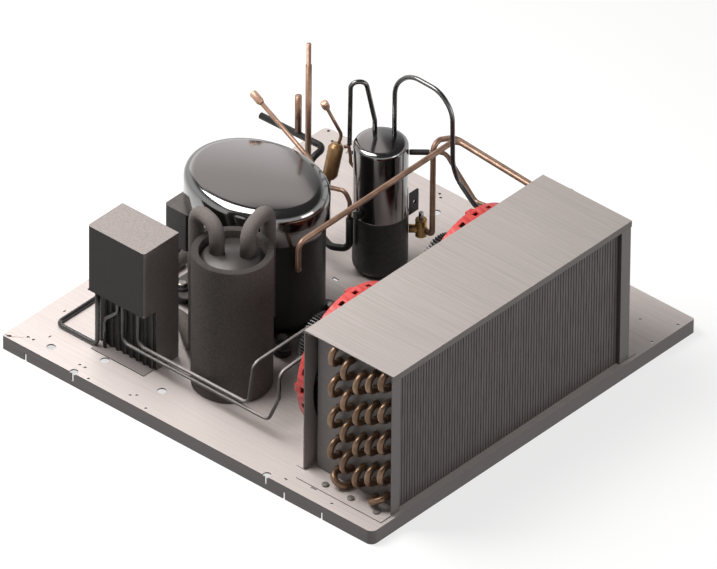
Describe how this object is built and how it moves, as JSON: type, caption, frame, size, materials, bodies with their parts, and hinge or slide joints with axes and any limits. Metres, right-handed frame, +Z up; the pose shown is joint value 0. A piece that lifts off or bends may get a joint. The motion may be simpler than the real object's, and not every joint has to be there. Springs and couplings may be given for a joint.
{
  "type": "refrigeration condensing unit",
  "caption": "Open refrigeration condensing unit: hermetic compressor, finned condenser coil with fans, liquid receiver, lagged accumulator and electrical box on a steel base tray.",
  "frame": {"origin": "middle of the base tray's underside", "axes": "+X along the condenser, +Y from the condenser to the back of the tray, +Z up"},
  "size_m": [0.654, 0.665, 0.353],
  "materials": {
    "galvanised": "zinc-coated sheet",
    "coil_sheet": "zinc-coated sheet, dull",
    "cover_sheet": "zinc-coated sheet, bright",
    "fins": "fin edges, matt",
    "copper": "dull copper",
    "zinc_screws": "zinc-plated",
    "red_plastic": "moulded",
    "motor_black": "satin black",
    "fan_metal": "pressed, dull",
    "steel": "machined",
    "gloss_black": "gloss black",
    "foot_steel": "dull grey",
    "rubber": "matt",
    "iron": "machined iron",
    "foam": "closed-cell foam",
    "brass": "bright",
    "black_coating": "black sleeve",
    "cable_grey": "cable sheath",
    "box_sheet": "grey",
    "black_plastic": "moulded",
    "grey_plastic": "moulded"
  },
  "bodies": {
    "unit": {"base_plate": "galvanised", "end_plate_left": "coil_sheet", "end_plate_right": "coil_sheet", "fin_pack": "fins", "top_cover": "cover_sheet", "fan_plate": "coil_sheet", "return_bends_left": "copper", "return_bends_right": "copper", "foot_screws": "zinc_screws", "fan_shroud_left": "red_plastic", "fan_shroud_right": "red_plastic", "fan_motor_left": "motor_black", "fan_motor_right": "motor_black", "compressor_lower_shell": "gloss_black", "compressor_upper_shell": "gloss_black", "compressor_feet": "foot_steel", "foot_grommets": "rubber", "foot_bolts": "zinc_screws", "motor_stator": "iron", "suspension_springs": "steel", "cylinder_block": "iron", "piston": "steel", "terminal_cover": "black_plastic", "accumulator_vessel": "gloss_black", "accumulator_sleeve": "foam", "receiver_cup": "gloss_black", "receiver_upper_shell": "gloss_black", "receiver_fittings": "gloss_black", "receiver_valve": "brass", "discharge_pipe": "copper", "condensate_pipe": "copper", "control_pipe": "copper", "control_hose": "black_coating", "drier": "copper", "drier_pipes": "copper", "charging_hose": "black_coating", "liquid_line": "black_coating", "liquid_stub": "copper", "suction_line": "black_coating", "suction_stub": "copper", "lagged_pipes": "foam", "shell_pipes": "copper", "service_caps": "brass", "box_body": "box_sheet", "start_capacitor": "black_plastic", "start_relay": "black_plastic", "terminal_block": "grey_plastic", "pressure_switch": "grey_plastic", "switch_bracket": "coil_sheet", "power_cables": "cable_grey", "fan_cables": "cable_grey"},
    "fan_left": {"fan_impeller_left": "fan_metal", "fan_shaft_left": "steel"},
    "fan_right": {"fan_impeller_right": "fan_metal", "fan_shaft_right": "steel"},
    "crank": {"motor_rotor": "iron", "crankshaft": "steel"},
    "rod": {"connecting_rod": "steel"},
    "valve_stem": {"valve_spindle": "steel"},
    "hood": {"box_hood": "box_sheet"}
  },
  "joints": [
    {"name": "fan_left_spin", "type": "hinge", "parent": "unit", "child": "fan_left", "pos_m": [-0.163, -0.16, 0.1363], "axis": [0, 1, 0], "continuous": true},
    {"name": "fan_right_spin", "type": "hinge", "parent": "unit", "child": "fan_right", "pos_m": [0.079, -0.16, 0.1363], "axis": [0, 1, 0], "continuous": true},
    {"name": "crank_spin", "type": "hinge", "parent": "unit", "child": "crank", "pos_m": [-0.056, 0.1165, 0.1], "axis": [0, 0, 1], "continuous": true},
    {"name": "rod_swing", "type": "hinge", "parent": "crank", "child": "rod", "pos_m": [-0.056, 0.1255, 0.182], "axis": [0, 0, 1], "continuous": true},
    {"name": "valve_turn", "type": "hinge", "parent": "unit", "child": "valve_stem", "pos_m": [0.1693, 0.02068, 0.1], "axis": [0, 0, 1], "range_deg": [0, 720]},
    {"name": "hood_slide", "type": "slide", "parent": "unit", "child": "hood", "axis": [-1, 0, 0], "range_m": [0, 0.06]}
  ],
  "couplings": [
    {"joint": "rod_swing", "follows": "crank_spin", "ratio": -1}
  ]
}
